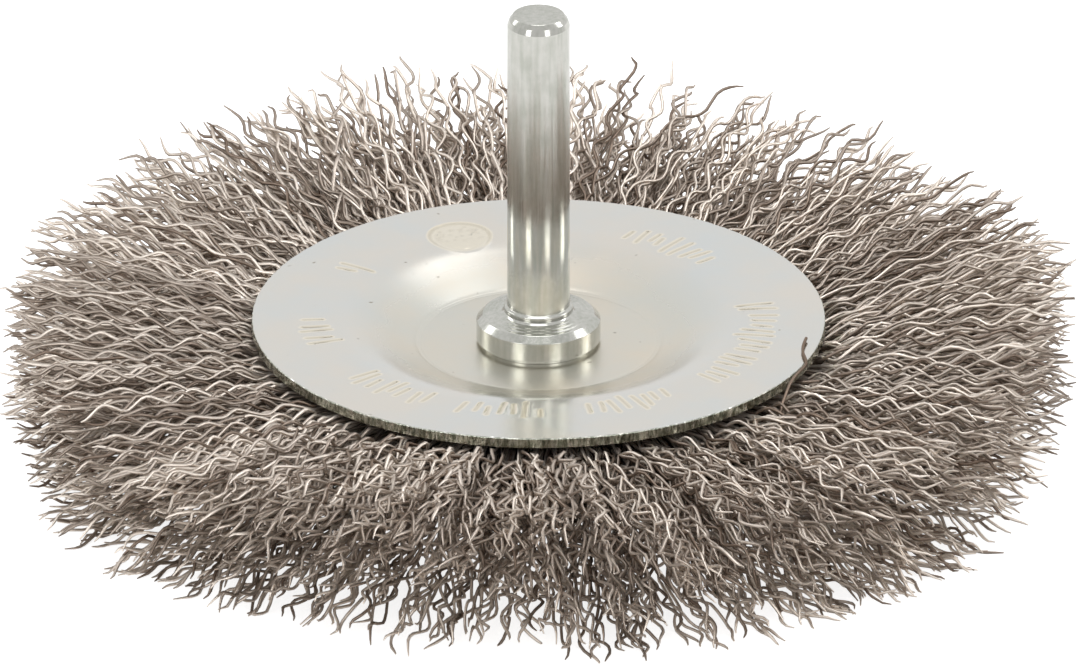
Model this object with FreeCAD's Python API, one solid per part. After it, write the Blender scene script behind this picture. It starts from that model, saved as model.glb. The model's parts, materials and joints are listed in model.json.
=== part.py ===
"""A wire wheel brush on a drill shank: crimped steel wires clamped between two pressed plates.

Millimetres. The wheel lies flat on its lower wire tips, the shank stands up along +Z, and the
origin is on the wheel's axis at the level of the lowest tip. Heights below are first measured
from the wheel's middle plane, and every piece is lifted by the same amount at the end.
"""
import FreeCAD, Part
import math
import os
import random

# The shank, collar, stem and riveted head are one turned piece.
SHANK_DIAMETER = 6.0
SHANK_LENGTH = 31.4
SHANK_CHAMFER_LENGTH = 1.0
SHANK_CHAMFER_DEPTH = 0.35
ROOT_BEAD_STEP = 0.4
ROOT_BEAD_HEIGHT = 0.6
COLLAR_DIAMETER = 11.9
COLLAR_HEIGHT = 2.8
COLLAR_CHAMFER = 0.45
COLLAR_FOOT_STEP = 0.4
COLLAR_FOOT_HEIGHT = 0.35
STEM_DIAMETER = 5.0
RIVET_HEAD_DIAMETER = 8.6
RIVET_HEAD_HEIGHT = 1.3
RIVET_HEAD_TAPER = 0.9

# The two plates are the same pressing, one turned over.
PLATE_DIAMETER = 55.0
PLATE_THICKNESS = 1.0
DISH_DEPTH = 2.4
DISH_FLOOR_DIAMETER = 23.0
DISH_SLOPE_DEGREES = 19.5
STEM_HOLE_CLEARANCE = 0.1

# The washer keeps the two dish floors apart.
SPACER_DIAMETER = 12.0
SPACER_THICKNESS = 2.0

# The wires are folded over a flat ring, which lies in the folds of every bundle.
CORE_RING_WIDTH = 2.0
CORE_RING_HEIGHT = 2.6
CORE_RING_CLEARANCE = 0.15

# The wires: bundles side by side round the ring, each a folded root with crimped strands. The
# root fills a share of the way from the ring to the plates' rim.
BRUSH_DIAMETER = 100.0
TIP_SCATTER = 1.8
TIP_HALF_WIDTH = 6.8
LEAST_TIP_SPREAD = 0.65
MOST_TIP_SPREAD = 1.12
BUNDLE_COUNT = 12
BUNDLE_GAP = 0.2
STRAND_ROWS = 2
STRAND_COLUMNS = 5
STRAND_WIDTH_AT_RIM = 1.7
STRAND_WIDTH_AT_TIP = 1.25
CRIMP_HEIGHT = 0.8
FIRST_CRIMP_HEIGHT = 0.3
FREE_SPANS = 3
FOLD_CLEARANCE = 0.1
FOLD_WALL = 1.6
ROOT_REACH = 0.53
ROOT_INSET = 0.8
RIM_STANDOFF = 4.0
LAYOUTS = (41, 47, 49)

# Radii and heights that follow from the sizes above.
shank_r = SHANK_DIAMETER / 2
stem_r = STEM_DIAMETER / 2
collar_r = COLLAR_DIAMETER / 2
plate_r = PLATE_DIAMETER / 2
brush_r = BRUSH_DIAMETER / 2
floor_r = DISH_FLOOR_DIAMETER / 2
slope = math.radians(DISH_SLOPE_DEGREES)
shoulder_r = floor_r + DISH_DEPTH / math.tan(slope)
bend_shift = math.tan(slope / 2)
pack_half = SPACER_THICKNESS / 2 + DISH_DEPTH
rim_top = pack_half + PLATE_THICKNESS
floor_top = rim_top - DISH_DEPTH
fold_inner_r = shoulder_r + PLATE_THICKNESS * bend_shift + FOLD_CLEARANCE
ring_inner_r = fold_inner_r + FOLD_WALL
ring_outer_r = ring_inner_r + CORE_RING_WIDTH
root_x = ring_outer_r + (plate_r - ring_outer_r) * ROOT_REACH
half_sector = math.pi / BUNDLE_COUNT


def vector(x, y, z):
    return FreeCAD.Vector(x, y, z)


def turned(corners):
    """One full turn about the Z axis of an outline of (radius, height, land) corners.

    A land above zero cuts its corner off by that length along both sides.
    """
    points = [vector(radius, 0, height) for radius, height, land in corners]
    outline = []
    for index, (radius, height, land) in enumerate(corners):
        corner = points[index]
        if land == 0:
            outline.append(corner)
            continue
        back = (points[index - 1] - corner).normalize()
        onward = (points[(index + 1) % len(points)] - corner).normalize()
        outline.append(corner + back * land)
        outline.append(corner + onward * land)
    face = Part.Face(Part.makePolygon(outline + outline[:1]))
    return face.revolve(vector(0, 0, 0), vector(0, 0, 1), 360)


def flat_ring(inner_radius, outer_radius, height):
    """A ring of rectangular section, centred on the wheel's middle plane."""
    return turned([
        (inner_radius, -height / 2, 0),
        (outer_radius, -height / 2, 0),
        (outer_radius, height / 2, 0),
        (inner_radius, height / 2, 0),
    ])


def drill_shank():
    """Shank, root bead, collar with its foot, stem and riveted head, turned in one piece."""
    collar_top = floor_top + COLLAR_HEIGHT
    collar_bottom = floor_top + COLLAR_FOOT_HEIGHT
    foot_r = collar_r - COLLAR_FOOT_STEP
    bead_r = shank_r + ROOT_BEAD_STEP
    bead_top = collar_top + ROOT_BEAD_HEIGHT
    shank_top = collar_top + SHANK_LENGTH
    head_r = RIVET_HEAD_DIAMETER / 2
    head_bottom = -floor_top - RIVET_HEAD_HEIGHT
    return turned([
        (0, head_bottom, 0),
        (head_r - RIVET_HEAD_TAPER, head_bottom, 0),
        (head_r, -floor_top, 0),
        (stem_r, -floor_top, 0),
        (stem_r, floor_top, 0),
        (foot_r, floor_top, 0),
        (foot_r, collar_bottom, 0),
        (collar_r, collar_bottom, 0),
        (collar_r, collar_top, COLLAR_CHAMFER),
        (bead_r, collar_top, 0),
        (shank_r, bead_top, 0),
        (shank_r, shank_top - SHANK_CHAMFER_LENGTH, 0),
        (shank_r - SHANK_CHAMFER_DEPTH, shank_top, 0),
        (0, shank_top, 0),
    ])


def pressed_plate(side):
    """One dished plate of even thickness: side is 1 for the upper plate and -1 for the lower."""
    hole_r = stem_r + STEM_HOLE_CLEARANCE
    under_shift = PLATE_THICKNESS * bend_shift
    outline = [
        (hole_r, floor_top),
        (floor_r, floor_top),
        (shoulder_r, rim_top),
        (plate_r, rim_top),
        (plate_r, pack_half),
        (shoulder_r + under_shift, pack_half),
        (floor_r + under_shift, floor_top - PLATE_THICKNESS),
        (hole_r, floor_top - PLATE_THICKNESS),
    ]
    return turned([(radius, side * height, 0) for radius, height in outline])


def folded_root():
    """The clamped root of one bundle, with the straight tunnel in its fold for the core ring."""
    side_shift = BUNDLE_GAP / 2 / math.cos(half_sector)
    root_half = root_x * math.tan(half_sector) - side_shift
    inner_half = fold_inner_r * math.tan(half_sector) - side_shift
    corners = [
        vector(fold_inner_r, inner_half, -pack_half),
        vector(root_x, root_half, -pack_half),
        vector(root_x, -root_half, -pack_half),
        vector(fold_inner_r, -inner_half, -pack_half),
    ]
    block = Part.Face(Part.makePolygon(corners + corners[:1])).extrude(vector(0, 0, 2 * pack_half))
    tunnel_start = ring_inner_r * math.cos(half_sector) - CORE_RING_CLEARANCE
    tunnel_width = ring_outer_r + CORE_RING_CLEARANCE - tunnel_start
    tunnel_corner = vector(tunnel_start, -root_half, -CORE_RING_HEIGHT / 2)
    tunnel = Part.makeBox(tunnel_width, 2 * root_half, CORE_RING_HEIGHT, tunnel_corner)
    return block.cut(tunnel), root_half


def strand(root_corners, spans):
    """A crimped strand: its three-cornered section is shifted and shrunk from span to span."""
    middle = (root_corners[0] + root_corners[1] + root_corners[2]) / 3
    sections = [root_corners]
    for centre, share in spans:
        sections.append([centre + (corner - middle) * share for corner in root_corners])
    faces = [Part.Face(Part.makePolygon(end + end[:1])) for end in (sections[0], sections[-1])]
    for near, far in zip(sections, sections[1:]):
        for corner in range(3):
            following = (corner + 1) % 3
            ring = [near[corner], near[following], far[following], far[corner], near[corner]]
            faces.append(Part.Face(Part.makePolygon(ring)))
    return Part.makeSolid(Part.makeShell(faces))


def strand_spans(middle, cell_width, tip_rise, draw):
    """The centre and the size share of each section of a strand that starts at middle."""
    direction = math.atan2(middle.y, middle.x)
    tip_r = brush_r + draw.uniform(-TIP_SCATTER, TIP_SCATTER / 2)
    tip_z = middle.z * tip_rise * draw.uniform(LEAST_TIP_SPREAD, MOST_TIP_SPREAD)
    crimp_angle = draw.uniform(0, 2 * math.pi)
    first_x = plate_r + RIM_STANDOFF
    tip_x = tip_r * math.cos(direction)
    spans = []
    for span in range(FREE_SPANS + 1):
        share = span / FREE_SPANS
        x = first_x + (tip_x - first_x) * share
        rise = (x - root_x) / (tip_x - root_x)
        y = x * math.tan(direction)
        z = middle.z + (tip_z - middle.z) * rise
        crimp = FIRST_CRIMP_HEIGHT if span == 0 else CRIMP_HEIGHT
        swing = crimp * draw.uniform(0.7, 1.0) * (-1) ** span
        width = STRAND_WIDTH_AT_RIM + (STRAND_WIDTH_AT_TIP - STRAND_WIDTH_AT_RIM) * share
        centre = vector(x, y + swing * math.cos(crimp_angle), z + swing * math.sin(crimp_angle))
        spans.append((centre, width / cell_width))
    return spans


def wire_bundle(layout):
    """One bundle: strands that start side by side on the root's outer face and fan out."""
    draw = random.Random(layout)
    root, root_half = folded_root()
    grid_half = pack_half - ROOT_INSET
    cell_width = 2 * root_half / STRAND_COLUMNS
    cell_height = 2 * grid_half / STRAND_ROWS
    outer_row = grid_half - cell_height / 3
    tip_rise = TIP_HALF_WIDTH / outer_row
    strands = []
    for row in range(STRAND_ROWS):
        for column in range(STRAND_COLUMNS):
            y = -root_half + column * cell_width
            z = -grid_half + row * cell_height
            near_low = vector(root_x, y, z)
            far_low = vector(root_x, y + cell_width, z)
            near_high = vector(root_x, y, z + cell_height)
            far_high = vector(root_x, y + cell_width, z + cell_height)
            if (row + column) % 2:
                halves = ([near_low, far_low, far_high], [near_low, far_high, near_high])
            else:
                halves = ([near_low, far_low, near_high], [far_low, far_high, near_high])
            for corners in halves:
                middle = (corners[0] + corners[1] + corners[2]) / 3
                strands.append(strand(corners, strand_spans(middle, cell_width, tip_rise, draw)))
    return root.fuse(strands)


def wheel_pieces():
    """Every piece of the wheel by name, about the wheel's middle plane."""
    pieces = {
        "drill_shank": drill_shank(),
        "upper_plate": pressed_plate(1),
        "lower_plate": pressed_plate(-1),
        "spacer_washer": flat_ring(stem_r + STEM_HOLE_CLEARANCE, SPACER_DIAMETER / 2,
                                   SPACER_THICKNESS),
        "core_ring": flat_ring(ring_inner_r, ring_outer_r, CORE_RING_HEIGHT),
    }
    bundles = [wire_bundle(layout) for layout in LAYOUTS]
    for number in range(BUNDLE_COUNT):
        bundle = bundles[number % len(bundles)].copy()
        bundle.rotate(vector(0, 0, 0), vector(0, 0, 1), number * 360 / BUNDLE_COUNT)
        pieces[f"wire_bundle_{number + 1:02d}"] = bundle
    return pieces


pieces = wheel_pieces()
lowest_tip = min(vertex.Z for name in pieces if name.startswith("wire_bundle")
                 for vertex in pieces[name].Vertexes)
os.makedirs("parts", exist_ok=True)
for name, piece in pieces.items():
    piece.translate(vector(0, 0, -lowest_tip))
    solids = piece.Solids
    shape = solids[0] if len(solids) == 1 else Part.makeCompound(solids)
    shape.exportStep(f"parts/{name}.step")
    print(f"{name}: {len(solids)} solid, valid {shape.isValid()}, {shape.Volume:.1f} mm3")
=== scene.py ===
import bpy
import json
import math
import random
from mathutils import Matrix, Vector


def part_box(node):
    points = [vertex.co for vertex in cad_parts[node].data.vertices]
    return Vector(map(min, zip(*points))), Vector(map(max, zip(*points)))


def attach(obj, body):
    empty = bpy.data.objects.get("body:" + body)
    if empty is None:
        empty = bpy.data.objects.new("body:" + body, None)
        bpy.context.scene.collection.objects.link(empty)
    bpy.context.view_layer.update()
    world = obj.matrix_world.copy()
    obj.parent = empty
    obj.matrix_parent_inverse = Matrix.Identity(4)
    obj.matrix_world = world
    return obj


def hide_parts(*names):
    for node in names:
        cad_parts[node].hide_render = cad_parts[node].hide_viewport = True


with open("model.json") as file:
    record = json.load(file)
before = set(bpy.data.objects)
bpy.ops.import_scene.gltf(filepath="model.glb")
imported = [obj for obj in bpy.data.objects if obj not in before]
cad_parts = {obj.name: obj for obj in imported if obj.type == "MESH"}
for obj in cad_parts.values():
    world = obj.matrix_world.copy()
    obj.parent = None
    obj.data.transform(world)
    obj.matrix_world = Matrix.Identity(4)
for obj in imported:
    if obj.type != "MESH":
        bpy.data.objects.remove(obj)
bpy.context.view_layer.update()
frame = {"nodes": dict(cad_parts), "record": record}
scene = bpy.context.scene
mm = 0.001

# The camera stands in front of the wheel, far off with a long lens, and looks down at its top face.
# One millimetre across the wheel is as many pixels wide as in the photograph.
photo_width_px = 1080
photo_px_per_mm = 10.44
photo_centre_px = (540, 333)
plate_centre_px = (538.5, 317.6)
camera_elevation = math.radians(24.8)
camera_lens = 1000
sensor_width = 36
plate_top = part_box("upper_plate")[1].z
field_width = photo_width_px / photo_px_per_mm * mm
camera_distance = field_width * camera_lens / sensor_width
look_up = (plate_centre_px[1] - photo_centre_px[1]) / photo_px_per_mm / math.cos(camera_elevation)
look_right = (photo_centre_px[0] - plate_centre_px[0]) / photo_px_per_mm
look_at = Vector((look_right * mm, 0, plate_top + look_up * mm))
camera_data = bpy.data.cameras.new("camera")
camera_data.lens = camera_lens
camera_data.sensor_width = sensor_width
camera_data.clip_end = 20
camera = bpy.data.objects.new("camera", camera_data)
scene.collection.objects.link(camera)
towards_camera = Vector((0, -math.cos(camera_elevation), math.sin(camera_elevation)))
camera.location = look_at + towards_camera * camera_distance
camera.rotation_euler = (math.pi / 2 - camera_elevation, 0, 0)
scene.camera = camera

# A white floor that the lower wire tips touch. A little light of its own lifts what the camera and
# the metal see of it to white, and the wheel still casts its soft shadow there.
floor_half = 2.5
floor_colour = (0.6, 0.6, 0.6, 1)
floor_fill = 0.8
floor_fill_in_metal = 0.42


def plug(tree, socket, value):
    """Links an output to a socket, or sets its value."""
    if isinstance(value, bpy.types.NodeSocket):
        tree.links.new(value, socket)
    else:
        socket.default_value = value


def tree_node(tree, kind, settings=None, output=0, **sockets):
    """Adds a node with its settings, puts values or outputs on its named inputs, gives an output."""
    added = tree.nodes.new(kind)
    for label, value in (settings or {}).items():
        setattr(added, label, value)
    for label, value in sockets.items():
        plug(tree, added.inputs[label.replace("_", " ")], value)
    return added.outputs[output]


def calculation(tree, operation, *values):
    """One step of arithmetic on numbers or outputs."""
    step = tree.nodes.new("ShaderNodeMath")
    step.operation = operation
    for socket, value in zip(step.inputs, values):
        plug(tree, socket, value)
    return step.outputs[0]


floor_material = bpy.data.materials.new("white floor")
floor_material.use_nodes = True
tree = floor_material.node_tree
tree.nodes.clear()
ray = tree.nodes.new("ShaderNodeLightPath").outputs
seen = calculation(tree, "MULTIPLY", ray["Is Camera Ray"], floor_fill)
fill = calculation(tree, "MULTIPLY_ADD", ray["Is Glossy Ray"], floor_fill_in_metal, seen)
both = tree.nodes.new("ShaderNodeAddShader")
tree.links.new(tree_node(tree, "ShaderNodeBsdfDiffuse", Color=floor_colour), both.inputs[0])
tree.links.new(tree_node(tree, "ShaderNodeEmission", Strength=fill), both.inputs[1])
tree.links.new(both.outputs[0], tree.nodes.new("ShaderNodeOutputMaterial").inputs["Surface"])
floor_mesh = bpy.data.meshes.new("floor")
floor_mesh.from_pydata([(-floor_half, -floor_half, 0), (floor_half, -floor_half, 0),
                        (floor_half, floor_half, 0), (-floor_half, floor_half, 0)], [], [(0, 1, 2, 3)])
floor_mesh.materials.append(floor_material)
floor = bpy.data.objects.new("floor", floor_mesh)
scene.collection.objects.link(floor)

# Soft studio light: a pale surround, a small panel above and behind the wheel to the right, a
# larger one overhead, a narrow one on each side of the camera and two more behind at the sides.
surround_in_front = 0.72
surround_behind = 0.88
front_ends = -0.5
back_starts = 0.6
world = bpy.data.worlds.new("studio")
world.use_nodes = True
tree = world.node_tree
direction = tree_node(tree, "ShaderNodeTexCoord", output="Generated")
backward = tree_node(tree, "ShaderNodeSeparateXYZ", output="Y", Vector=direction)
surround = tree_node(tree, "ShaderNodeMapRange", Value=backward, From_Min=front_ends,
                     From_Max=back_starts, To_Min=surround_in_front, To_Max=surround_behind)
plug(tree, tree.nodes["Background"].inputs["Strength"], surround)
plug(tree, tree.nodes["Background"].inputs["Color"], (1, 1, 1, 1))
scene.world = world

# Each panel: azimuth and elevation in degrees, distance, width and height in metres, power in watts.
light_panels = [
    ("rear panel", 68, 53, 1.3, 0.32, 0.34, 0.3),
    ("overhead panel", -90, 85, 1.3, 0.7, 0.7, 3.6),
    ("left panel", -127, 24, 1.2, 0.34, 0.6, 1.6),
    ("right panel", -57, 24, 1.2, 0.34, 0.6, 1.3),
    ("right rear panel", 10, 32, 1.3, 0.35, 0.6, 2.0),
    ("left rear panel", 154, 32, 1.3, 0.25, 0.6, 1.3),
]
for name, azimuth, elevation, distance, width, height, power in light_panels:
    light = bpy.data.lights.new(name, "AREA")
    light.shape = "RECTANGLE"
    light.size = width
    light.size_y = height
    light.energy = power
    lamp = bpy.data.objects.new(name, light)
    level = math.cos(math.radians(elevation))
    place = Vector((level * math.cos(math.radians(azimuth)), level * math.sin(math.radians(azimuth)),
                    math.sin(math.radians(elevation)))) * distance
    lamp.location = place
    lamp.rotation_euler = place.to_track_quat("Z", "Y").to_euler()
    scene.collection.objects.link(lamp)
scene.view_settings.view_transform = "Standard"


# The shank is turned from one bar with its collar, the foot under it, the stem and the riveted
# head, then zinc plated. Fine rings are left on the collar and fine lines along the shank.
def rounded_section(corners):
    """Points along (radius, height, rounding) corners, with an arc at each rounded one."""
    arc_step = math.radians(12)
    section = []
    for index, (radius, height, rounding) in enumerate(corners):
        if rounding == 0:
            section.append((radius, height))
            continue
        corner = Vector((radius, height))
        back = (Vector(corners[index - 1][:2]) - corner).normalized()
        onward = (Vector(corners[(index + 1) % len(corners)][:2]) - corner).normalized()
        half_angle = back.angle(onward) / 2
        centre = corner + (back + onward).normalized() * rounding / math.sin(half_angle)
        start = corner + back * rounding / math.tan(half_angle) - centre
        end = corner + onward * rounding / math.tan(half_angle) - centre
        steps = max(2, round(start.angle(end) / arc_step))
        for step in range(steps + 1):
            spoke = start.slerp(end, step / steps) * rounding
            section.append((centre.x + spoke.x, centre.y + spoke.y))
    return section


def turned_mesh(name, section, steps):
    """A mesh of a section of (radius, height) points turned once about the axis.

    A section that starts and ends on the axis is open, and any other is a closed loop. A point is
    added just inside each end of a long straight stretch, so that its shading stays flat.
    """
    long_stretch = 0.5 * mm
    hold = 0.03 * mm
    nearly_nothing = 1e-7
    loop = section[0][0] > nearly_nothing
    held = []
    for here, onward in zip(section, section[1:] + section[:1]):
        held.append(here)
        start, end = Vector(here), Vector(onward)
        length = (end - start).length
        if length > long_stretch and (loop or onward != section[0]):
            held.append(tuple(start.lerp(end, hold / length)))
            held.append(tuple(end.lerp(start, hold / length)))
    section = held
    on_axis = [radius < nearly_nothing for radius, height in section]
    places, rings = [], []
    for (radius, height), pole in zip(section, on_axis):
        count = 1 if pole else steps
        rings.append(range(len(places), len(places) + count))
        for step in range(count):
            turn = 2 * math.pi * step / steps
            places.append((radius * math.cos(turn), radius * math.sin(turn), height))
    following = rings[1:] if on_axis[0] else rings[1:] + rings[:1]
    faces = []
    for low, high in zip(rings, following):
        for step in range(steps):
            after = (step + 1) % steps
            corners = [low[step % len(low)], low[after % len(low)],
                       high[after % len(high)], high[step % len(high)]]
            faces.append(tuple(dict.fromkeys(corners)))
    mesh = bpy.data.meshes.new(name)
    mesh.from_pydata(places, [], faces)
    mesh.shade_smooth()
    return mesh


shank_low, shank_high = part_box("drill_shank")
plate_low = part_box("lower_plate")[0].z
wheel_middle = (plate_top + plate_low) / 2
head_height = 1.3 * mm
head_r = 4.3 * mm
head_dome = 0.9 * mm
stem_r = 2.5 * mm
floor_under = shank_low.z + head_height
floor_top = 2 * wheel_middle - floor_under
collar_r = shank_high.x
collar_top = floor_top + 2.9 * mm
collar_chamfer = 0.62 * mm
collar_rise = 0.3 * mm
foot_r = collar_r - 0.4 * mm
foot_top = floor_top + 0.35 * mm
shank_r = frame["record"]["mounts"][0]["dims"]["r_mm"] * mm
bead_r = shank_r + 0.3 * mm
bead_top = collar_top + collar_rise + 0.7 * mm
end_chamfer_length = 1.0 * mm
end_chamfer_depth = 0.55 * mm
centre_spot_r = 0.55 * mm
centre_spot_depth = 0.05 * mm
groove_spacing = 0.5 * mm
groove_depth = 0.06 * mm
groove_lip = 0.02 * mm
shank_steps = 112
shank_dark = (0.50, 0.51, 0.46)
shank_light = (0.62, 0.615, 0.575)
collar_face = []
collar_face_r = collar_r - collar_chamfer
groove_r = collar_face_r - 0.25 * mm
while groove_r > bead_r + 0.4 * mm:
    inward = (collar_face_r - groove_r) / (collar_face_r - bead_r)
    face_level = collar_top + collar_rise * inward
    collar_face.append((groove_r, face_level, 0))
    collar_face.append((groove_r - groove_spacing * 0.35, face_level - groove_depth, 0))
    collar_face.append((groove_r - groove_spacing * 0.6, face_level + groove_lip, 0))
    groove_r -= groove_spacing
shank_section = rounded_section([
    (0, shank_low.z, 0),
    (head_r - head_dome, shank_low.z, 0.5 * mm),
    (head_r, shank_low.z + head_dome, 0.5 * mm),
    (head_r, floor_under, 0.05 * mm),
    (stem_r, floor_under, 0),
    (stem_r, floor_top, 0),
    (foot_r, floor_top, 0.05 * mm),
    (foot_r, foot_top, 0.1 * mm),
    (collar_r, foot_top, 0.1 * mm),
    (collar_r, collar_top - collar_chamfer, 0.12 * mm),
    (collar_face_r, collar_top, 0.12 * mm),
    *collar_face,
    (bead_r + 0.2 * mm, collar_top + collar_rise - 0.08 * mm, 0.05 * mm),
    (bead_r, collar_top + collar_rise + 0.1 * mm, 0.05 * mm),
    (bead_r, bead_top - 0.15 * mm, 0.15 * mm),
    (shank_r, bead_top, 0.08 * mm),
    (shank_r, shank_high.z - end_chamfer_length, 0.1 * mm),
    (shank_r - end_chamfer_depth * 0.35, shank_high.z - end_chamfer_length * 0.45, 0.3 * mm),
    (shank_r - end_chamfer_depth, shank_high.z, 0.12 * mm),
    (centre_spot_r, shank_high.z, 0.1 * mm),
    (0, shank_high.z - centre_spot_depth, 0),
])
shank = bpy.data.objects.new("turned_shank", turned_mesh("turned_shank", shank_section, shank_steps))
scene.collection.objects.link(shank)


def new_metal(name):
    """A metal: gives the material, its tree and the inputs of its shader."""
    material = bpy.data.materials.new(name)
    material.use_nodes = True
    tree = material.node_tree
    metal = tree.nodes["Principled BSDF"].inputs
    metal["Metallic"].default_value = 1.0
    return material, tree, metal


def tint_between(tree, share, start, start_colour, end, end_colour):
    """A colour that runs from one to the other as a share goes from start to end."""
    ramp = tree.nodes.new("ShaderNodeValToRGB")
    for stop, place, colour in zip(ramp.color_ramp.elements, (start, end), (start_colour, end_colour)):
        stop.position = place
        stop.color = (*colour, 1)
    tree.links.new(share, ramp.inputs["Fac"])
    return ramp.outputs["Color"]


def share_between(tree, value, start, end, low=0.0, high=1.0):
    """A number that goes from low to high as a value goes from start to end, and stays there."""
    sockets = {"From_Min": start, "From_Max": end, "To_Min": low, "To_Max": high}
    return tree_node(tree, "ShaderNodeMapRange", Value=value, **sockets)


shank_material, tree, metal = new_metal("turned zinc")
place = tree_node(tree, "ShaderNodeTexCoord", output="Object")
along = tree_node(tree, "ShaderNodeMapping", Vector=place, Scale=(1, 1, 0.1))
drawn_lines = tree_node(tree, "ShaderNodeTexNoise", Vector=along, Scale=2600, Detail=4)
clouds = tree_node(tree, "ShaderNodeTexNoise", Vector=place, Scale=420, Detail=6, Roughness=0.65)
stain = calculation(tree, "ADD", clouds, drawn_lines)
half_stain = calculation(tree, "MULTIPLY", stain, 0.5)
lines_bump = tree_node(tree, "ShaderNodeBump", Strength=0.18, Distance=0.012 * mm, Height=stain)
plug(tree, metal["Base Color"], tint_between(tree, half_stain, 0.38, shank_dark, 0.6, shank_light))
plug(tree, metal["Roughness"], share_between(tree, clouds, 0.35, 0.65, 0.2, 0.11))
plug(tree, metal["Normal"], lines_bump)
shank.data.materials.append(shank_material)
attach(shank, "root")
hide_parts("drill_shank")

# The two plates are the same pressing of zinc plated sheet, dished in the middle, with a sheared
# edge. The riveted head clamps them over the wires. The upper one carries groups of plain punched
# ticks and one round punch mark.
plate_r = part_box("upper_plate")[1].x
sheet = 1.0 * mm
hole_r = stem_r + 0.1 * mm
dish_depth = plate_top - floor_top
dish_slope = math.radians(19.5)
dish_floor_r = 11.5 * mm
dish_shoulder_r = dish_floor_r + dish_depth / math.tan(dish_slope)
bend_shift = sheet * math.tan(dish_slope / 2)
shoulder_rounding = 12.0 * mm
floor_rounding = 1.0 * mm
press_line_depth = 0.035 * mm
press_line_width = 0.1 * mm
edge_roll = 0.15 * mm
edge_ring_spacing = 0.2 * mm
marked_inner_r = 17.1 * mm
marked_outer_r = 23.9 * mm
upper_steps = 640
upper_spacing = 0.22 * mm
lower_steps = 280
lower_spacing = 1.7 * mm
cool_zinc = (0.70, 0.72, 0.71)
warm_zinc = (0.76, 0.725, 0.665)
dish_cream = (0.97, 0.935, 0.87, 1)
# The marks' two colours: scuffed zinc with a painted highlight round each stroke, and painted shade in the
# bottom of its groove.
mark_scuff_and_highlight = (0.86, 0.81, 0.70)
mark_groove_shade = (0.70, 0.64, 0.52)
torn_dark = (0.20, 0.22, 0.17)
torn_light = (0.64, 0.66, 0.57)
pit_colour = (0.42, 0.39, 0.33, 1)
creamy_from_r = 18.5 * mm
creamy_to_r = 14.0 * mm
torn_from_r = plate_r - 0.14 * mm
torn_to_r = plate_r - 0.06 * mm


def face_drop(radius):
    """How far the plate's face lies below its flat rim at a radius."""
    rim_bend_start = dish_shoulder_r + shoulder_rounding * math.tan(dish_slope / 2)
    rim_bend_end = rim_bend_start - shoulder_rounding * math.sin(dish_slope)
    floor_bend_start = dish_floor_r - floor_rounding * math.tan(dish_slope / 2)
    floor_bend_end = floor_bend_start + floor_rounding * math.sin(dish_slope)
    if radius >= rim_bend_start:
        return 0
    if radius >= rim_bend_end:
        return shoulder_rounding - math.sqrt(shoulder_rounding ** 2 - (rim_bend_start - radius) ** 2)
    if radius >= floor_bend_end:
        return (dish_shoulder_r - radius) * math.tan(dish_slope)
    if radius >= floor_bend_start:
        rise = floor_rounding - math.sqrt(floor_rounding ** 2 - (radius - floor_bend_start) ** 2)
        return dish_depth - rise
    return dish_depth


def plate_mesh(name, side, steps, face_spacing):
    """A dished plate: side is 1 for the upper and -1 for the lower, which has its face down.

    The face has rings of points near the rim, at even steps through the marked band, down the
    slope of the dish, and close together at the press line round the dish floor.
    """
    top = plate_top - wheel_middle
    dish = floor_top - wheel_middle
    radii = [plate_r - edge_roll - 0.04 * mm, plate_r - 0.3 * mm, plate_r - 1.2 * mm, marked_outer_r]
    while radii[-1] > marked_inner_r:
        radii.append(radii[-1] - face_spacing)
    radii += [(15.5 + 0.4 * step) * mm for step in (3, 2, 1, 0)]
    radii += [dish_floor_r + step * press_line_width for step in (7, 3, 2, 1, 0, -1, -2, -3, -4, -8)]
    face = []
    for radius in radii:
        pressed_line = abs(abs(radius - dish_floor_r) / press_line_width - 2) < 0.5
        face.append((radius, top - face_drop(radius) - press_line_depth * pressed_line, 0))
    edge = [(plate_r, top - sheet + edge_ring_spacing * step, 0) for step in (1, 2, 3)]
    section = rounded_section([
        (hole_r, dish - sheet, 0),
        (dish_floor_r + bend_shift, dish - sheet, floor_rounding + sheet),
        (dish_shoulder_r + bend_shift, top - sheet, shoulder_rounding - sheet),
        (plate_r, top - sheet, 0.05 * mm),
        *edge,
        (plate_r, top, edge_roll),
        *face,
        (hole_r, dish, 0),
    ])
    turned = [(radius, wheel_middle + side * height) for radius, height in section]
    return turned_mesh(name, turned if side > 0 else turned[::-1], steps)


# Each punched mark is a short stroke, given as its two ends in the plane of the plate's face. The
# arcs and the spacing of the ticks are in degrees round the plate.
tick_arcs = [(38, 67), (318, 370), (282, 307), (249, 272), (216, 241), (180, 197), (145, 151)]
tick_spacing = 3.3
tick_middle_r = 21.2 * mm
tick_lengths = (1.4 * mm, 3.6 * mm)
tick_lean = 0.25 * mm
tick_shift = 0.5
round_mark_r = 2.9 * mm
round_mark_from_axis = 20.3 * mm
round_mark_azimuth = math.radians(112)
round_mark_outward = Vector((math.cos(round_mark_azimuth), math.sin(round_mark_azimuth)))
round_mark_centre = round_mark_from_axis * round_mark_outward
round_mark_steps = 32
round_mark_dots = 44
dots_within = 0.8
dot_length = 0.1 * mm
draw = random.Random(7)
strokes = []
for first, last in tick_arcs:
    count = max(2, round((last - first) / tick_spacing))
    for number in range(count):
        turn = math.radians(first + (last - first) * (number + draw.uniform(0.3, 0.7)) / count)
        outward = Vector((math.cos(turn), math.sin(turn)))
        across = Vector((-outward.y, outward.x))
        reach = outward * draw.uniform(*tick_lengths) / 2 + across * draw.uniform(-tick_lean, tick_lean) / 2
        middle = outward * (tick_middle_r + draw.uniform(-tick_shift, tick_shift) * mm)
        strokes.append((middle - reach, middle + reach))
for step in range(round_mark_steps):
    turns = [2 * math.pi * (step + end) / round_mark_steps for end in (0, 1)]
    rim = [round_mark_r * Vector((math.cos(turn), math.sin(turn))) for turn in turns]
    strokes.append([round_mark_centre + end for end in rim])
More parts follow.
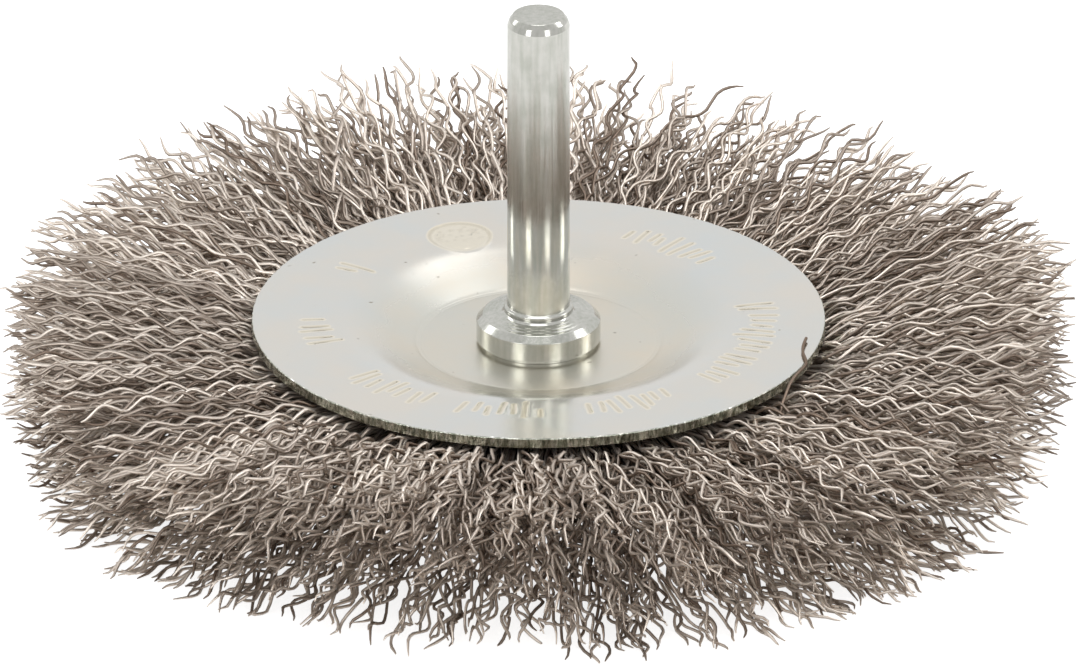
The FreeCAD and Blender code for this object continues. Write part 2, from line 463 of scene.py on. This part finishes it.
for dot in range(round_mark_dots):
    turn = draw.uniform(0, 2 * math.pi)
    outward = Vector((math.cos(turn), math.sin(turn)))
    middle = round_mark_centre + outward * round_mark_r * dots_within * math.sqrt(draw.random())
    strokes.append((middle, middle + Vector((dot_length, 0))))
stroke_mesh = bpy.data.meshes.new("punched strokes")
stroke_mesh.from_pydata([(*end, plate_top) for stroke in strokes for end in stroke],
                        [(2 * number, 2 * number + 1) for number in range(len(strokes))], [])
stroke_lines = bpy.data.objects.new("punched_strokes", stroke_mesh)
scene.collection.objects.link(stroke_lines)

# A tree's sockets are made from a dictionary of its named inputs.
socket_types = {
    int: "NodeSocketInt",
    float: "NodeSocketFloat",
    bpy.types.Material: "NodeSocketMaterial",
    bpy.types.Object: "NodeSocketObject",
}


def new_tree(name, sizes, takes_mesh):
    """An empty tree with named inputs. Gives the tree, its inputs and where to read them."""
    made = bpy.data.node_groups.new(name, "GeometryNodeTree")
    made.interface.new_socket("Geometry", in_out="OUTPUT", socket_type="NodeSocketGeometry")
    if takes_mesh:
        made.interface.new_socket("Geometry", in_out="INPUT", socket_type="NodeSocketGeometry")
    inputs = {}
    for label, value in sizes.items():
        kind = socket_types[type(value)]
        inputs[label] = made.interface.new_socket(label, in_out="INPUT", socket_type=kind)
    return made, inputs, made.nodes.new("NodeGroupInput").outputs


def vector_step(tree, operation, *values, output="Vector"):
    """One step of arithmetic on places or directions."""
    step = tree.nodes.new("ShaderNodeVectorMath")
    step.operation = operation
    for socket, value in zip(step.inputs, values):
        plug(tree, socket, value)
    return step.outputs[output]


def finish_tree(tree, shape, material):
    """Ends a tree in one real shape with its material."""
    shape = tree_node(tree, "GeometryNodeRealizeInstances", Geometry=shape)
    shape = tree_node(tree, "GeometryNodeSetMaterial", Geometry=shape, Material=material)
    tree.links.new(shape, tree.nodes.new("NodeGroupOutput").inputs[0])


def made_by(piece, tree, inputs, settings):
    """Runs a tree on a piece with these settings and leaves the piece a plain mesh."""
    modifier = piece.modifiers.new(tree.name, "NODES")
    modifier.node_group = tree
    for label, value in settings.items():
        modifier[inputs[label].identifier] = value
    evaluated = piece.evaluated_get(bpy.context.evaluated_depsgraph_get())
    piece.data = bpy.data.meshes.new_from_object(evaluated)
    piece.modifiers.clear()


def mixed(tree, share, first, second, blend="MIX"):
    """The first colour, turning into the second as a share goes from 0 to 1."""
    settings = {"data_type": "RGBA", "blend_type": blend}
    return tree_node(tree, "ShaderNodeMix", settings, "Result", Factor=share, A=first, B=second)


# The zinc is cloudy, creamier and duller in the dish and on the marks, pitted here and there, and
# torn into upright streaks where the edge was sheared. The marks are scuffed zinc, painted light as
# a highlight round each stroke and painted dark as shade in the bottom of its groove.
plate_material, tree, metal = new_metal("pressed zinc")
place = tree_node(tree, "ShaderNodeTexCoord", output="Object")
clouds = tree_node(tree, "ShaderNodeTexNoise", Vector=place, Scale=85, Detail=5, Roughness=0.6)
cloudy = tint_between(tree, clouds, 0.35, cool_zinc, 0.65, warm_zinc)
from_axis = vector_step(tree, "LENGTH", vector_step(tree, "MULTIPLY", place, (1, 1, 0)), output="Value")
in_dish = share_between(tree, from_axis, creamy_from_r, creamy_to_r)
creamy = mixed(tree, in_dish, cloudy, dish_cream, "MULTIPLY")
# The punched share picks the marks' tint: a painted highlight on scuffed zinc at the lips, turning to
# painted shade at the bottom of each groove.
punched = tree_node(tree, "ShaderNodeAttribute", {"attribute_name": "punched"}, "Fac")
mark_painted_light_tint = tint_between(tree, punched, 0.35, mark_scuff_and_highlight, 0.95, mark_groove_shade)
marked = mixed(tree, share_between(tree, punched, 0.0, 0.35), creamy, mark_painted_light_tint)
at_edge = share_between(tree, from_axis, torn_from_r, torn_to_r)
upright = tree_node(tree, "ShaderNodeMapping", Vector=place, Scale=(1, 1, 0.25))
tears = tree_node(tree, "ShaderNodeTexNoise", Vector=upright, Scale=3600, Detail=2)
torn_tint = tint_between(tree, tears, 0.38, torn_dark, 0.66, torn_light)
torn = mixed(tree, at_edge, marked, torn_tint)
specks = tree_node(tree, "ShaderNodeTexNoise", Vector=place, Scale=900, Detail=1)
pitted = mixed(tree, share_between(tree, specks, 0.76, 0.82), torn, pit_colour)
gloss = share_between(tree, clouds, 0.3, 0.7, 0.13, 0.22)
grain = tree_node(tree, "ShaderNodeTexNoise", Vector=place, Scale=900, Detail=3)
grain_bump = tree_node(tree, "ShaderNodeBump", Strength=0.1, Distance=0.02 * mm, Height=grain)
tear_bump = tree_node(tree, "ShaderNodeBump", Strength=1.0, Distance=0.09 * mm,
                      Height=calculation(tree, "MULTIPLY", tears, at_edge), Normal=grain_bump)
plug(tree, metal["Base Color"], pitted)
plug(tree, metal["Roughness"], calculation(tree, "MULTIPLY_ADD", in_dish, 0.14, gloss))
plug(tree, metal["Normal"], tear_bump)

# Shearing tears the edge of the sheet into upright streaks, which reach a little way into it.
edge_sizes = {
    "Rim Radius": plate_r,
    "Streak Width": 0.45 * mm,
    "Streak Depth": 0.11 * mm,
    "Torn Width": 0.3 * mm,
    "Material": plate_material,
}
edge_tree, edge_inputs, size = new_tree("sheared edge", edge_sizes, True)
where = tree_node(edge_tree, "GeometryNodeInputPosition")
upright = vector_step(edge_tree, "MULTIPLY", where, (1, 1, 0.35))
streaks = tree_node(edge_tree, "ShaderNodeTexNoise", Vector=upright,
                    Scale=calculation(edge_tree, "DIVIDE", 1.0, size["Streak Width"]), Detail=2.0)
streaks = share_between(edge_tree, streaks, 0.35, 0.7)
level_place = vector_step(edge_tree, "MULTIPLY", where, (1, 1, 0))
from_axis = vector_step(edge_tree, "LENGTH", level_place, output="Value")
torn_start = calculation(edge_tree, "SUBTRACT", size["Rim Radius"], size["Torn Width"])
near_edge = share_between(edge_tree, from_axis, torn_start, size["Rim Radius"])
shear = calculation(edge_tree, "MULTIPLY", calculation(edge_tree, "MULTIPLY", streaks, near_edge),
                    calculation(edge_tree, "MULTIPLY", size["Streak Depth"], -1.0))
pull = vector_step(edge_tree, "MULTIPLY", vector_step(edge_tree, "NORMALIZE", level_place), shear)
shape = tree_node(edge_tree, "GeometryNodeSetPosition", Geometry=size["Geometry"], Offset=pull)
finish_tree(edge_tree, shape, size["Material"])

# A punch pushes a groove into the face along each stroke, with a low lip on both sides of it, and
# sinks the round mark as a whole.
mark_sizes = {
    "Strokes": stroke_lines,
    "Half Width": 0.18 * mm,
    "Depth": 0.16 * mm,
    "Lip Height": 0.06 * mm,
    "Lip Reach In Half Widths": 2.4,
    "Round Mark X": round_mark_centre.x,
    "Round Mark Y": round_mark_centre.y,
    "Round Mark Radius": round_mark_r,
    "Round Mark Depth": 0.12 * mm,
    "Wall Outside": 0.1 * mm,
    "Wall Inside": 0.3 * mm,
    "Scuff And Painted Light From": 0.38 * mm,
    "Scuff And Painted Light To": 0.06 * mm,
    "Scuff And Painted Light In Round Mark": 0.45,
    "Material": plate_material,
}
mark_tree, mark_inputs, size = new_tree("punched marks", mark_sizes, True)
lines = tree_node(mark_tree, "GeometryNodeObjectInfo", output="Geometry", Object=size["Strokes"])
away = tree_node(mark_tree, "GeometryNodeProximity", {"target_element": "EDGES"}, "Distance",
                 Geometry=lines)
groove = share_between(mark_tree, away, size["Half Width"], 0.0)
lip_reach = calculation(mark_tree, "MULTIPLY", size["Half Width"], size["Lip Reach In Half Widths"])
lip = share_between(mark_tree, away, 0.0, lip_reach, size["Lip Height"], 0.0)
round_place = tree_node(mark_tree, "ShaderNodeCombineXYZ", X=size["Round Mark X"],
                        Y=size["Round Mark Y"], Z=plate_top)
where = tree_node(mark_tree, "GeometryNodeInputPosition")
from_round = vector_step(mark_tree, "DISTANCE", where, round_place, output="Value")
in_round = share_between(
    mark_tree, from_round,
    calculation(mark_tree, "ADD", size["Round Mark Radius"], size["Wall Outside"]),
    calculation(mark_tree, "SUBTRACT", size["Round Mark Radius"], size["Wall Inside"]),
)
sink = calculation(mark_tree, "SUBTRACT", lip, calculation(mark_tree, "MULTIPLY", groove, size["Depth"]))
sink = calculation(mark_tree, "SUBTRACT", sink,
                   calculation(mark_tree, "MULTIPLY", in_round, size["Round Mark Depth"]))
shape = tree_node(mark_tree, "GeometryNodeSetPosition", Geometry=size["Geometry"],
                  Offset=tree_node(mark_tree, "ShaderNodeCombineXYZ", Z=sink))
# The share for the marks' tint: scuffed zinc with a painted highlight towards the lips, painted shade at
# the groove bottoms, and the round mark part way, mostly on the light side.
scuff_and_painted_light = share_between(mark_tree, away, size["Scuff And Painted Light From"], size["Scuff And Painted Light To"])
scuff_and_painted_light = calculation(mark_tree, "MAXIMUM", scuff_and_painted_light,
                      calculation(mark_tree, "MULTIPLY", in_round, size["Scuff And Painted Light In Round Mark"]))
shape = tree_node(mark_tree, "GeometryNodeStoreNamedAttribute", Geometry=shape, Name="punched",
                  Value=scuff_and_painted_light)
finish_tree(mark_tree, shape, size["Material"])

upper_mesh = plate_mesh("dished_plate_upper", 1, upper_steps, upper_spacing)
lower_mesh = plate_mesh("dished_plate_lower", -1, lower_steps, lower_spacing)
upper_plate = bpy.data.objects.new("dished_plate_upper", upper_mesh)
lower_plate = bpy.data.objects.new("dished_plate_lower", lower_mesh)
scene.collection.objects.link(upper_plate)
scene.collection.objects.link(lower_plate)
made_by(upper_plate, mark_tree, mark_inputs, mark_sizes)
made_by(upper_plate, edge_tree, edge_inputs, edge_sizes)
made_by(lower_plate, edge_tree, edge_inputs, edge_sizes)
bpy.data.objects.remove(stroke_lines)
for plate, node_name in ((upper_plate, "upper_plate"), (lower_plate, "lower_plate")):
    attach(plate, "root")
    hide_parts(node_name)

# A plain steel washer keeps the two dish floors apart, and a plain steel ring lies in the folds of
# the wires. Neither is plated. Both keep the solid's shape, since the plates and wires hide them.
steel_dark = (0.38, 0.37, 0.35)
steel_light = (0.52, 0.51, 0.49)
inner_material, tree, metal = new_metal("plain steel")
place = tree_node(tree, "ShaderNodeTexCoord", output="Object")
clouds = tree_node(tree, "ShaderNodeTexNoise", Vector=place, Scale=300)
plug(tree, metal["Base Color"], tint_between(tree, clouds, 0.0, steel_dark, 1.0, steel_light))
plug(tree, metal["Roughness"], 0.42)
for node_name in ("spacer_washer", "core_ring"):
    frame["nodes"][node_name].data.materials.clear()
    frame["nodes"][node_name].data.materials.append(inner_material)

# The wires: 0.3 mm steel, crimped between toothed rolls, folded in half over the core ring and
# clamped by the plates. Outside the rim they splay up, down and sideways into ragged tufts.
wire_nodes = sorted(name for name in frame["nodes"] if name.startswith("wire_bundle"))
sector = 2 * math.pi / len(wire_nodes)
ring_low, ring_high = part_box("core_ring")
ring_width = 2.0 * mm
fold_clearance = 0.8 * mm
fold_start = ring_high.x - ring_width - fold_clearance
fold_reach = ring_width / 2 + fold_clearance
wires_off_ring = 0.3 * mm
clamped_half = (plate_top - plate_low) / 2 - sheet
wires_off_plates = 0.55 * mm
wires_off_floor = 0.2 * mm
wire_dark = (0.25, 0.19, 0.15)
wire_light = (0.99, 0.895, 0.80)
wire_sheen = (0.45, 0.38, 0.33, 1)

# How far the fan rises and how much further it reaches, in millimetres, at the twelve edges
# between the bundles. They go anticlockwise seen from above, and the first is 15 degrees in front
# of the right side.
edge_lifts = [2.0, 2.4, -1.2, 0.2, 2.4, 0.7, -0.3, -0.9, -2.0, 1.3, -1.6, -2.4]
edge_reaches = [0.4, 0.3, -0.3, 0.0, 0.3, 0.3, 0.4, 0.8, 1.5, 0.8, 1.7, 1.6]

wire_material, tree, metal = new_metal("crimped steel wire")
tone = tree_node(tree, "ShaderNodeAttribute", {"attribute_name": "wire_tone"}, "Fac")
plug(tree, metal["Base Color"], tint_between(tree, tone, 0.0, wire_dark, 0.8, wire_light))
plug(tree, metal["Metallic"], 0.72)
plug(tree, metal["Roughness"], 0.33)
plug(tree, metal["Specular Tint"], wire_sheen)

wire_sizes = {
    "Hairpins": 136,
    "Points": 81,
    "Fold Steps": 3,
    "Clamped Steps": 2,
    "Seed": 0,
    "Start Angle": 0.0,
    "Sector": sector,
    "Middle Height": wheel_middle,
    "Fold Radius": fold_start,
    "Fold Reach": fold_reach,
    "Ring Half Height": (ring_high.z - ring_low.z) / 2 + wires_off_ring,
    "Rim Half Height": clamped_half - wires_off_plates,
    "Rim Radius": plate_r,
    "Tip Radius": 50.5 * mm,
    "Reach At Start": 0.0,
    "Reach At End": 0.0,
    "Lift At Start": 0.0,
    "Lift At End": 0.0,
    "Tip Shortening": 3.0 * mm,
    "Tip Rise": 8.7 * mm,
    "Tip Drop": 7.7 * mm,
    "Crowding To Middle": 1.35,
    "Greatest Depth": wheel_middle - wires_off_floor,
    "Greatest Height": wheel_middle + 2.4 * mm,
    "Opening Length": 10.0 * mm,
    "Sideways Slope": 0.14,
    "Wayward Share": 0.09,
    "Wayward Slope": 0.7,
    "Upward Slope": 0.05,
    "Sideways Bow": 1.6 * mm,
    "Tufts Across": 6.0,
    "Tufts Up": 4.0,
    "Tuft Pull": 0.5,
    "Tuft Scatter": 1.2 * mm,
    "Crimp Length": 4.9 * mm,
    "Crimp Height": 0.56 * mm,
    "Bend Crowding": 0.35,
    "Wire Radius": 0.185 * mm,
    "Sides": 3,
    "Tip Taper": 1.2 * mm,
    "Material": wire_material,
}
wire_tree, wire_inputs, size = new_tree("crimped wires", wire_sizes, False)


def calc(operation, *values):
    """One step of arithmetic in the wires' tree."""
    return calculation(wire_tree, operation, *values)


def total(*values):
    """The sum of several outputs."""
    result = values[0]
    for value in values[1:]:
        result = calc("ADD", result, value)
    return result


def between(share, start, end):
    """The value between start and end at a share, which is held between 0 and 1."""
    return share_between(wire_tree, share, 0.0, 1.0, start, end)


def chance(low, high, owner, shift):
    """A random number for each owner, the same at all its points. Shift tells draws apart."""
    draw = wire_tree.nodes.new("FunctionNodeRandomValue")
    draw.data_type = "FLOAT"
    sockets = {socket.name: socket for socket in draw.inputs if socket.enabled}
    seed = calc("ADD", size["Seed"], shift)
    for label, value in (("Min", low), ("Max", high), ("ID", owner), ("Seed", seed)):
        plug(wire_tree, sockets[label], value)
    return next(socket for socket in draw.outputs if socket.enabled)


def either_way(amount, owner, shift):
    """A random number from minus amount to amount."""
    return calc("MULTIPLY", amount, chance(-1.0, 1.0, owner, shift))


# Each hairpin starts as a straight line of points. Its two legs share the fold in the middle.
line = tree_node(wire_tree, "GeometryNodeCurvePrimitiveLine")
line = tree_node(wire_tree, "GeometryNodeResampleCurve", Curve=line, Count=size["Points"])
seats = tree_node(wire_tree, "GeometryNodePoints", Count=size["Hairpins"])
copies = tree_node(wire_tree, "GeometryNodeInstanceOnPoints", Points=seats, Instance=line)
hairpins = tree_node(wire_tree, "GeometryNodeRealizeInstances", Geometry=copies)
where = wire_tree.nodes.new("GeometryNodeCurveOfPoint")
hairpin = where.outputs["Curve Index"]
leg_steps = calc("DIVIDE", calc("SUBTRACT", size["Points"], 1), 2)
from_fold = calc("SUBTRACT", where.outputs["Index in Curve"], leg_steps)
side = calc("SIGN", from_fold)
steps_out = calc("ABSOLUTE", from_fold)
leg = calc("ADD", calc("MULTIPLY", hairpin, 2), calc("GREATER_THAN", side, 0))

# Along a leg: the fold round the ring, the clamped stretch under the plate, and the free length.
fold_share = calc("DIVIDE", steps_out, size["Fold Steps"])
past_fold = calc("SUBTRACT", steps_out, size["Fold Steps"])
clamped_share = between(calc("DIVIDE", past_fold, size["Clamped Steps"]), 0.0, 1.0)
hidden_steps = calc("ADD", size["Fold Steps"], size["Clamped Steps"])
free_steps = calc("SUBTRACT", leg_steps, hidden_steps)
free_share = between(calc("DIVIDE", calc("SUBTRACT", steps_out, hidden_steps), free_steps), 0.0, 1.0)
free_square = calc("MULTIPLY", free_share, free_share)
turn = between(fold_share, 0.0, math.pi / 2)

# A leg belongs to a tuft: a patch of the wheel's edge whose tips lean together. The tufts are
# numbered column by column, with room for this many rows in each.
rows_in_numbers = 16
level = calc("MULTIPLY", calc("POWER", chance(0.0, 1.0, leg, 1), size["Crowding To Middle"]), side)
spread = calc("DIVIDE", calc("ADD", hairpin, chance(0.0, 1.0, hairpin, 2)), size["Hairpins"])
tuft_column = calc("FLOOR", calc("MULTIPLY", spread, size["Tufts Across"]))
tuft_row = calc("FLOOR", calc("MULTIPLY", calc("MULTIPLY_ADD", level, 0.5, 0.5), size["Tufts Up"]))
tuft = calc("ADD", calc("MULTIPLY", tuft_column, rows_in_numbers), tuft_row)
tuft_spread = calc("DIVIDE", calc("ADD", tuft_column, chance(0.25, 0.75, tuft, 16)), size["Tufts Across"])
tuft_rows_half = calc("MULTIPLY", size["Tufts Up"], 0.5)
tuft_level = calc("SUBTRACT", calc("DIVIDE", calc("ADD", tuft_row, 0.5), tuft_rows_half), 1.0)
lean = calc("MULTIPLY", free_square, calc("MULTIPLY", size["Tuft Pull"], chance(0.3, 1.3, leg, 17)))

# How far out each point lies. No tip reaches further than a little past the tips' circle.
past_tips = 0.6 * mm
shortening = calc("MULTIPLY", size["Tip Shortening"], chance(0.0, 1.0, leg, 3))
reach = between(spread, size["Reach At Start"], size["Reach At End"])
tip_radius = total(size["Tip Radius"], reach, calc("MULTIPLY", shortening, -1.0),
                   either_way(size["Tuft Scatter"], tuft, 4))
tip_radius = calc("MINIMUM", tip_radius, total(size["Tip Radius"], reach, past_tips))
fold_out = calc("MULTIPLY", size["Fold Reach"], calc("SUBTRACT", 1.0, calc("COSINE", turn)))
fold_end = calc("ADD", size["Fold Radius"], size["Fold Reach"])
clamped_out = calc("MULTIPLY", clamped_share, calc("SUBTRACT", size["Rim Radius"], fold_end))
free_reach = calc("SUBTRACT", tip_radius, size["Rim Radius"])
free_out = calc("MULTIPLY", free_share, free_reach)
radius = total(size["Fold Radius"], fold_out, clamped_out, free_out)
run = calc("ADD", clamped_out, free_out)

# How high each point lies: round the ring, between the plates, and out to the level of its tip.
# The fan opens quickly at first. The wires highest and lowest in the fan lie further off the ring.
ring_clearance = 0.6 * mm
opening_power = 0.9
lift = between(spread, size["Lift At Start"], size["Lift At End"])
ring_clear = calc("MULTIPLY", calc("ABSOLUTE", level), ring_clearance)
ring_level = calc("MULTIPLY", side, calc("ADD", size["Ring Half Height"], ring_clear))
rim_level = calc("MULTIPLY", level, size["Rim Half Height"])
leaning_level = calc("MULTIPLY_ADD", calc("SUBTRACT", tuft_level, level), lean, level)
tip_reach = between(calc("GREATER_THAN", level, 0), size["Tip Drop"], size["Tip Rise"])
tip_level = total(calc("MULTIPLY", leaning_level, tip_reach), lift,
                  either_way(size["Tuft Scatter"], tuft, 5))
opening = calc("POWER", free_share, opening_power)
height = total(
    calc("MULTIPLY", calc("SINE", turn), ring_level),
    calc("MULTIPLY", clamped_share, calc("SUBTRACT", rim_level, ring_level)),
    calc("MULTIPLY", opening, calc("SUBTRACT", tip_level, rim_level)),
    calc("MULTIPLY", free_out, either_way(size["Upward Slope"], leg, 6)),
)

# How far each point lies to the side: the pull of its tuft, a slope and a bow. A few wires are
# wayward and slope far more.
tuft_offset = calc("MULTIPLY", calc("SUBTRACT", tuft_spread, spread), size["Sector"])
wayward = calc("LESS_THAN", chance(0.0, 1.0, leg, 18), size["Wayward Share"])
slope_limit = calc("MULTIPLY_ADD", wayward, size["Wayward Slope"], size["Sideways Slope"])
sideways = total(
    calc("MULTIPLY", tuft_offset, calc("MULTIPLY", radius, lean)),
    calc("MULTIPLY", free_out, either_way(slope_limit, leg, 7)),
    calc("MULTIPLY", free_square, either_way(size["Sideways Bow"], leg, 8)),
)

# The crimp is a wave along the leg, in a plane of its own that turns slowly along the wire, by up
# to so many radians a metre. A weaker wave crosses it. Both are weaker near the fold.
plane_turning = 70.0
full_crowding_from = 4 * mm
full_crimp_from = 8 * mm
least_crimp = 0.35
second_rate = 0.7
second_share = 0.45
pitch = calc("MULTIPLY", size["Crimp Length"], chance(0.85, 1.15, leg, 9))
phase = calc("MULTIPLY_ADD", calc("DIVIDE", run, pitch), 2 * math.pi, chance(0.0, 2 * math.pi, leg, 10))
# The points crowd together at the bends, which makes them round with few points.
crowding = calc("MULTIPLY", calc("MULTIPLY", size["Bend Crowding"], 0.5),
                between(calc("DIVIDE", run, full_crowding_from), 0.0, 1.0))
shift = calc("MULTIPLY", calc("SINE", calc("MULTIPLY", phase, 2)), crowding)
phase = calc("ADD", phase, shift)
radius = calc("ADD", radius, calc("DIVIDE", calc("MULTIPLY", shift, pitch), 2 * math.pi))
plane = calc("MULTIPLY_ADD", run, either_way(plane_turning, leg, 11), chance(0.0, 2 * math.pi, leg, 12))
swing = calc("MULTIPLY", size["Crimp Height"], chance(0.75, 1.2, leg, 13))
swing = calc("MULTIPLY", swing, between(calc("DIVIDE", run, full_crimp_from), least_crimp, 1.0))
wave = calc("MULTIPLY", calc("SINE", phase), swing)
second_phase = calc("MULTIPLY_ADD", phase, second_rate, chance(0.0, 2 * math.pi, leg, 14))
second_wave = calc("MULTIPLY", calc("SINE", second_phase), calc("MULTIPLY", swing, second_share))
plane_sine, plane_cosine = calc("SINE", plane), calc("COSINE", plane)
height = total(height, calc("MULTIPLY", wave, plane_sine), calc("MULTIPLY", second_wave, plane_cosine))
sideways = calc("SUBTRACT", calc("ADD", sideways, calc("MULTIPLY", wave, plane_cosine)),
                calc("MULTIPLY", second_wave, plane_sine))

# No wire passes through a plate or under the floor.
plate_clearance = 0.2 * mm
beyond_rim = calc("SUBTRACT", radius, calc("ADD", size["Rim Radius"], plate_clearance))
rim_limit = calc("ADD", size["Rim Half Height"], plate_clearance)
beyond_share = calc("DIVIDE", beyond_rim, size["Opening Length"])
lower_limit = between(beyond_share, rim_limit, size["Greatest Depth"])
upper_limit = between(beyond_share, rim_limit, size["Greatest Height"])
height = calc("MINIMUM", calc("MAXIMUM", height, calc("MULTIPLY", lower_limit, -1.0)), upper_limit)

# Each point is put in its place, and a tube is drawn along each hairpin, thinner at the tips.
thinnest = 0.4
angle = total(calc("MULTIPLY", spread, size["Sector"]), size["Start Angle"],
              calc("DIVIDE", sideways, radius))
spot = tree_node(
    wire_tree, "ShaderNodeCombineXYZ",
    X=calc("MULTIPLY", radius, calc("COSINE", angle)),
    Y=calc("MULTIPLY", radius, calc("SINE", angle)),
    Z=calc("ADD", height, size["Middle Height"]),
)
wires = tree_node(wire_tree, "GeometryNodeSetPosition", Geometry=hairpins, Position=spot)
wires = tree_node(wire_tree, "GeometryNodeStoreNamedAttribute", Geometry=wires, Name="wire_tone",
                  Value=chance(0.0, 1.0, leg, 15))
to_tip = calc("MULTIPLY", calc("SUBTRACT", 1.0, free_share), free_reach)
thickness = between(calc("DIVIDE", to_tip, size["Tip Taper"]), thinnest, 1.0)
section = tree_node(wire_tree, "GeometryNodeCurvePrimitiveCircle", Resolution=size["Sides"],
                    Radius=size["Wire Radius"])
wires = tree_node(wire_tree, "GeometryNodeCurveToMesh", Curve=wires, Profile_Curve=section,
                  Scale=thickness, Fill_Caps=True)
wires = tree_node(wire_tree, "GeometryNodeSetShadeSmooth", Geometry=wires)
finish_tree(wire_tree, wires, size["Material"])

for number, node_name in enumerate(wire_nodes):
    piece = bpy.data.objects.new(f"crimped_wires_{number + 1:02d}", bpy.data.meshes.new("wires"))
    scene.collection.objects.link(piece)
    settings = dict(wire_sizes)
    settings["Seed"] = 100 * (number + 1)
    settings["Start Angle"] = (number - 0.5) * sector
    following = (number + 1) % len(wire_nodes)
    settings["Lift At Start"] = edge_lifts[number] * mm
    settings["Lift At End"] = edge_lifts[following] * mm
    settings["Reach At Start"] = edge_reaches[number] * mm
    settings["Reach At End"] = edge_reaches[following] * mm
    made_by(piece, wire_tree, wire_inputs, settings)
    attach(piece, "root")
    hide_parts(node_name)

# One stray wire has sprung out beside the right front of the rim and lies over it on the plate.
# It is a loose piece of the same crimped wire. Its path is in millimetres.
stray_path = [
    (23.4, -20.6, 8.3),
    (23.1, -19.3, 9.6),
    (22.9, -18.2, 10.9),
    (23.5, -16.6, 11.7),
    (24.0, -14.9, 12.5),
    (24.9, -13.2, 12.8),
    (25.5, -11.8, 12.65),
    (25.6, -10.2, 12.55),
    (25.2, -8.6, 12.5),
    (25.2, -7.0, 12.5),
    (25.6, -5.3, 12.6),
]
stray_r = 0.15 * mm
stray_curve = bpy.data.curves.new("stray wire", "CURVE")
stray_curve.dimensions = "3D"
stray_curve.resolution_u = 6
stray_curve.bevel_depth = stray_r
stray_curve.bevel_resolution = 1
stray_curve.use_fill_caps = True
stray_line = stray_curve.splines.new("NURBS")
stray_line.points.add(len(stray_path) - 1)
for point, place in zip(stray_line.points, stray_path):
    point.co = (*(Vector(place) * mm), 1)
stray_line.use_endpoint_u = True
stray_line.order_u = 4
stray_source = bpy.data.objects.new("stray source", stray_curve)
scene.collection.objects.link(stray_source)
evaluated = stray_source.evaluated_get(bpy.context.evaluated_depsgraph_get())
stray_wire = bpy.data.objects.new("stray_wire", bpy.data.meshes.new_from_object(evaluated))
scene.collection.objects.link(stray_wire)
bpy.data.objects.remove(stray_source)
stray_wire.data.materials.clear()
stray_wire.data.materials.append(wire_material)
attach(stray_wire, "root")
